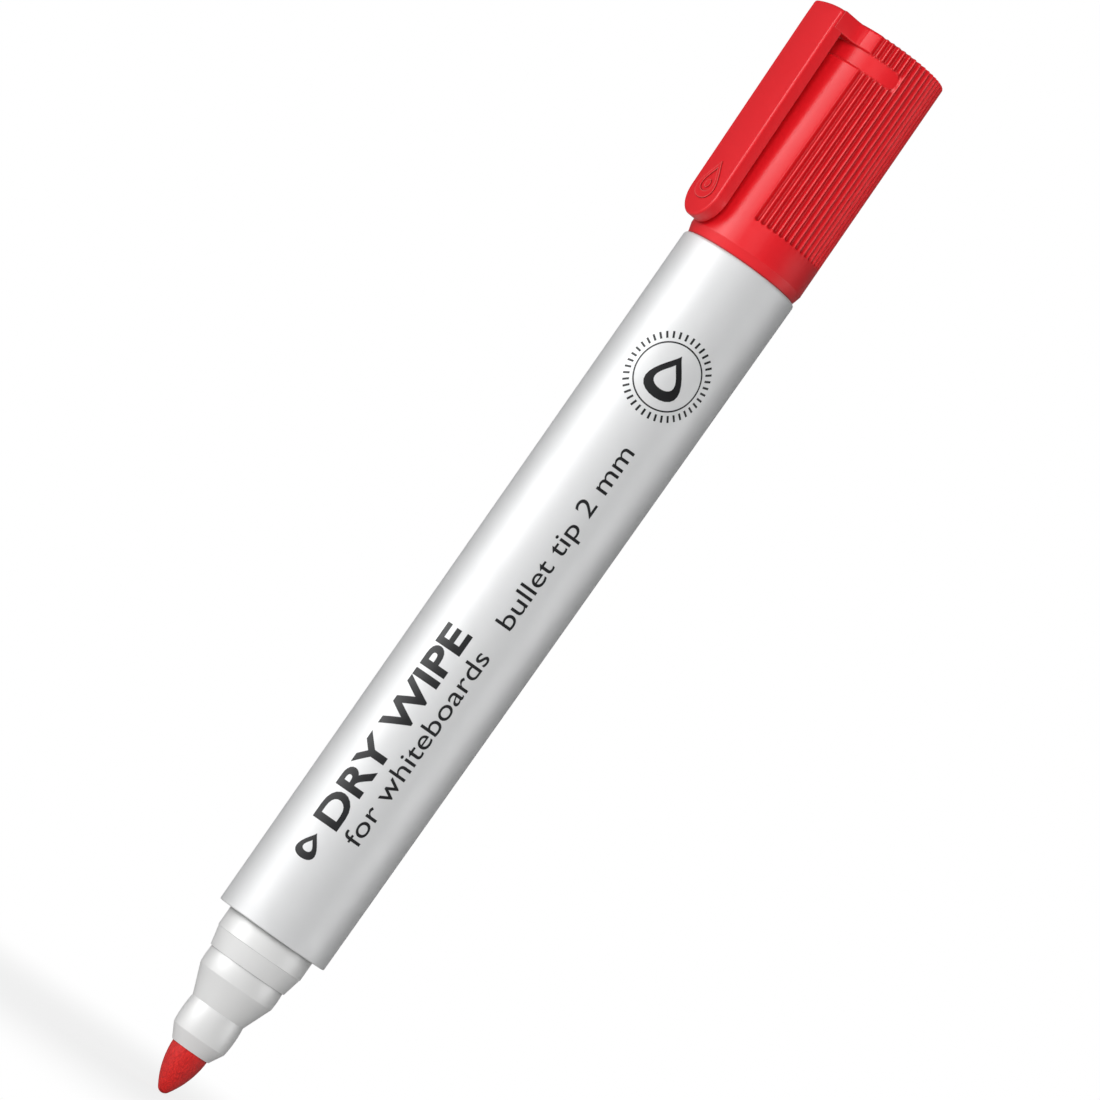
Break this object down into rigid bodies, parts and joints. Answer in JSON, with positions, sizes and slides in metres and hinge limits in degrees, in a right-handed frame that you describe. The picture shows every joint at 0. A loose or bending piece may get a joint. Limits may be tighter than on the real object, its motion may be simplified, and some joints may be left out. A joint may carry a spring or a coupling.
{
  "type": "whiteboard marker",
  "caption": "Whiteboard marker with a bullet nib, a tapered barrel and a ribbed clip cap posted on its rear end.",
  "frame": {"origin": "the writing tip of the nib, on the marker's axis", "axes": "+Z runs along the marker's axis from the nib to the closed end of the cap; the pocket clip is on the -X side, so XZ is the plane of symmetry"},
  "size_m": [0.0191, 0.0162, 0.1544],
  "materials": {
    "barrel": "satin silver-white moulded plastic with black print",
    "section": "white semi-gloss moulded plastic",
    "nib": "ground acrylic fibre soaked with red ink",
    "ink_fibre": "ink-soaked polyester fibre",
    "film": "thin film",
    "liner": "natural polypropylene",
    "cap": "red semi-gloss moulded plastic"
  },
  "bodies": {
    "pen": {"barrel": "barrel", "front_section": "section", "nib": "nib", "ink_reservoir": "ink_fibre", "reservoir_wrap": "film", "rear_plug": "section"},
    "seal": {"cap_inner_seal": "liner"},
    "cap": {"cap_shell": "cap"},
    "clip": {"cap_clip": "cap"}
  },
  "joints": [
    {"name": "cap_pull", "type": "slide", "parent": "pen", "child": "seal", "axis": [0, 0, 1], "range_m": [0, 0.015]},
    {"name": "cap_turn", "type": "hinge", "parent": "seal", "child": "cap", "pos_m": [0, 0, 0.13825], "axis": [0, 0, 1], "continuous": true},
    {"name": "clip_flex", "type": "hinge", "parent": "cap", "child": "clip", "pos_m": [-0.011, 0, 0.15175], "axis": [0, 1, 0], "range_deg": [0, 6], "stiffness_Nm_per_rad": 0.4}
  ]
}
